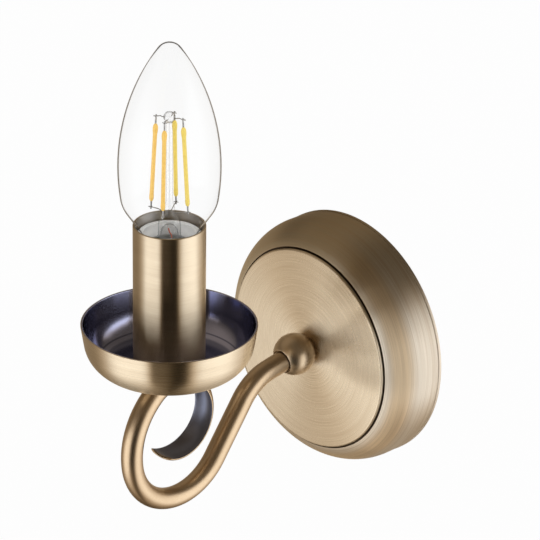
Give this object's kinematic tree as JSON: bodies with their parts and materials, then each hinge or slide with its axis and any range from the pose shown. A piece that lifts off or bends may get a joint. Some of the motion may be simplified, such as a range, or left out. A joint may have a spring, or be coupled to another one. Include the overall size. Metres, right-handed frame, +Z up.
{
  "type": "candle wall sconce",
  "caption": "Candle wall light: round dished back plate, ball, looping tubular arm with a pressed scroll, drip cup, candle sleeve and a screw-cap candle lamp.",
  "frame": {"origin": "centre of the back plate on the wall, between the bracket's two slots", "axes": "+Z up, +Y into the wall, so the light reaches out along -Y; X runs across the light"},
  "size_m": [0.0918, 0.1192, 0.1805],
  "materials": {
    "antique_brass": "brushed antique brass, lacquered",
    "bare_brass": "plain",
    "zinc_steel": "zinc plated",
    "holder_plastic": "moulded",
    "clear_glass": "clear",
    "collar_plastic": "moulded",
    "cap_metal": "nickel plated",
    "black_plastic": "glossy",
    "filament_yellow": "phosphor coating",
    "block_plastic": "moulded",
    "brown_plastic": "wire insulation",
    "blue_plastic": "wire insulation",
    "green_plastic": "wire insulation"
  },
  "bodies": {
    "fixture": {"backplate_cover": "antique_brass", "ball": "antique_brass", "arm_tube": "antique_brass", "candle_stem": "antique_brass", "drip_cup": "antique_brass", "candle_sleeve": "antique_brass", "mounting_stud": "zinc_steel", "stud_nut": "zinc_steel", "toothed_washer": "zinc_steel", "cup_washer": "zinc_steel", "cup_nut": "zinc_steel", "cover_grub_screw": "zinc_steel", "cover_hook": "zinc_steel", "wall_bracket": "zinc_steel", "earth_screw": "bare_brass", "earth_tag": "zinc_steel", "holder_base": "holder_plastic", "holder_body": "holder_plastic", "holder_shell": "bare_brass", "holder_contact": "bare_brass", "holder_terminals": "bare_brass", "terminal_block": "block_plastic", "block_screws": "zinc_steel", "live_wire": "brown_plastic", "neutral_wire": "blue_plastic", "earth_wire": "green_plastic"},
    "lamp_lift": {"cap_insulator": "black_plastic", "cap_contact": "zinc_steel"},
    "lamp": {"lamp_glass": "clear_glass", "lamp_collar": "collar_plastic", "lamp_cap": "cap_metal", "filament_mount": "clear_glass", "support_wires": "zinc_steel", "filaments": "filament_yellow"}
  },
  "joints": [
    {"name": "bulb_lift", "type": "slide", "parent": "fixture", "child": "lamp_lift", "axis": [0, 0, 1], "range_m": [0, 0.0142]},
    {"name": "bulb_turn", "type": "hinge", "parent": "lamp_lift", "child": "lamp", "pos_m": [0, -0.08871, 0.05], "axis": [0, 0, 1], "range_deg": [0, 1800]}
  ],
  "couplings": [
    {"joint": "bulb_lift", "follows": "bulb_turn", "m_per_rad": 0.00044916}
  ]
}
